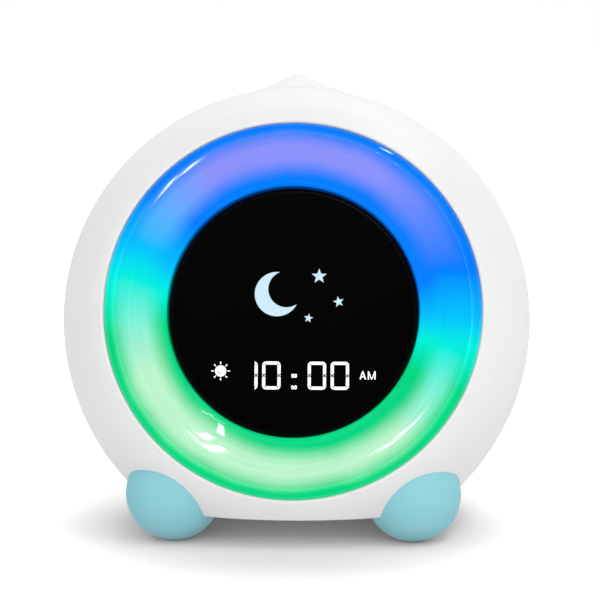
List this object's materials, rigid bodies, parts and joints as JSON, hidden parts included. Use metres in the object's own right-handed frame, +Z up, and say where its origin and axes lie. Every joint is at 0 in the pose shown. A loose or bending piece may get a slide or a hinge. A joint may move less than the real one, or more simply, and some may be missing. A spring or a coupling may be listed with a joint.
{
  "type": "kids alarm clock with night light",
  "caption": "Round tilted alarm clock with a peaked top, a glowing ring round a dark display and rounded feet; buttons, speaker, power socket and battery door at the back.",
  "frame": {"origin": "on the floor, in the plane of the foot pads, under the middle of the clock's bounding box", "axes": "+X to the right when facing the display, +Y towards the back, +Z up; the face leans back 12.3 degrees about X"},
  "size_m": [0.16, 0.108, 0.1536],
  "materials": {
    "shell_white": "moulded gloss ABS",
    "ring_diffuser": "milky diffuser, lit from behind in changing colours",
    "window_black": "tinted gloss acrylic",
    "frame_black": "fine matt",
    "inner_white": "plain moulded",
    "board_white": "white solder mask",
    "board_green": "green solder mask",
    "lamp_yellow": "phosphor yellow lamps",
    "panel_dark": "dark display panel",
    "chip_black": "epoxy package",
    "capacitor_blue": "sleeved can",
    "connector_cream": "nylon housing",
    "ribbon_grey": "flat ribbon",
    "speaker_metal": "pressed basket",
    "cone_black": "paper cone",
    "magnet_grey": "ferrite ring",
    "socket_steel": "plated shell",
    "screw_steel": "zinc plated",
    "contact_nickel": "nickel plated spring steel",
    "cell_blue": "plain printed sleeve",
    "foot_aqua": "satin aqua ABS",
    "pad_rubber": "soft rubber"
  },
  "bodies": {
    "clock": {"front_shell": "shell_white", "rear_shell": "shell_white", "light_ring": "ring_diffuser", "display_window": "window_black", "window_frame": "frame_black", "reflector_tray": "inner_white", "ring_board": "board_white", "ring_lamps": "lamp_yellow", "digit_block": "inner_white", "display_glass": "panel_dark", "display_board": "board_green", "main_board": "board_green", "board_chips": "chip_black", "board_capacitors": "capacitor_blue", "board_connectors": "connector_cream", "display_ribbon": "ribbon_grey", "tray_screws": "screw_steel", "display_screws": "screw_steel", "board_screws": "screw_steel", "speaker_frame": "speaker_metal", "speaker_cone": "cone_black", "speaker_magnet": "magnet_grey", "speaker_clamp": "inner_white", "speaker_screws": "screw_steel", "button_board": "board_green", "button_switches": "chip_black", "button_screws": "screw_steel", "usb_board": "board_green", "usb_socket": "socket_steel", "battery_box": "inner_white", "battery_cell_1": "cell_blue", "battery_cell_2": "cell_blue", "battery_cell_3": "cell_blue", "battery_springs": "contact_nickel", "battery_contacts": "contact_nickel", "battery_screws": "screw_steel", "case_screws": "screw_steel", "foot_left": "foot_aqua", "foot_right": "foot_aqua", "foot_pads": "pad_rubber", "foot_screws": "screw_steel"},
    "button_1": {"button_1": "shell_white"},
    "button_2": {"button_2": "shell_white"},
    "button_3": {"button_3": "shell_white"},
    "button_4": {"button_4": "shell_white"},
    "button_5": {"button_5": "shell_white"},
    "button_6": {"button_6": "shell_white"},
    "battery_door": {"battery_door": "shell_white", "door_screw": "screw_steel"}
  },
  "joints": [
    {"name": "button_1_press", "type": "slide", "parent": "clock", "child": "button_1", "axis": [0, -0.977, 0.213], "range_m": [0, 0.0007], "stiffness_N_per_m": 800, "springref_m": -0.0005},
    {"name": "button_2_press", "type": "slide", "parent": "clock", "child": "button_2", "axis": [0, -0.977, 0.213], "range_m": [0, 0.0007], "stiffness_N_per_m": 800, "springref_m": -0.0005},
    {"name": "button_3_press", "type": "slide", "parent": "clock", "child": "button_3", "axis": [0, -0.977, 0.213], "range_m": [0, 0.0007], "stiffness_N_per_m": 800, "springref_m": -0.0005},
    {"name": "button_4_press", "type": "slide", "parent": "clock", "child": "button_4", "axis": [0, -0.977, 0.213], "range_m": [0, 0.0007], "stiffness_N_per_m": 800, "springref_m": -0.0005},
    {"name": "button_5_press", "type": "slide", "parent": "clock", "child": "button_5", "axis": [0, -0.977, 0.213], "range_m": [0, 0.0007], "stiffness_N_per_m": 800, "springref_m": -0.0005},
    {"name": "button_6_press", "type": "slide", "parent": "clock", "child": "button_6", "axis": [0, -0.977, 0.213], "range_m": [0, 0.0007], "stiffness_N_per_m": 800, "springref_m": -0.0005},
    {"name": "battery_door_tilt", "type": "hinge", "parent": "clock", "child": "battery_door", "pos_m": [0, 0.03621, 0.02458], "axis": [-1, 0, 0], "range_deg": [0, 40]}
  ]
}
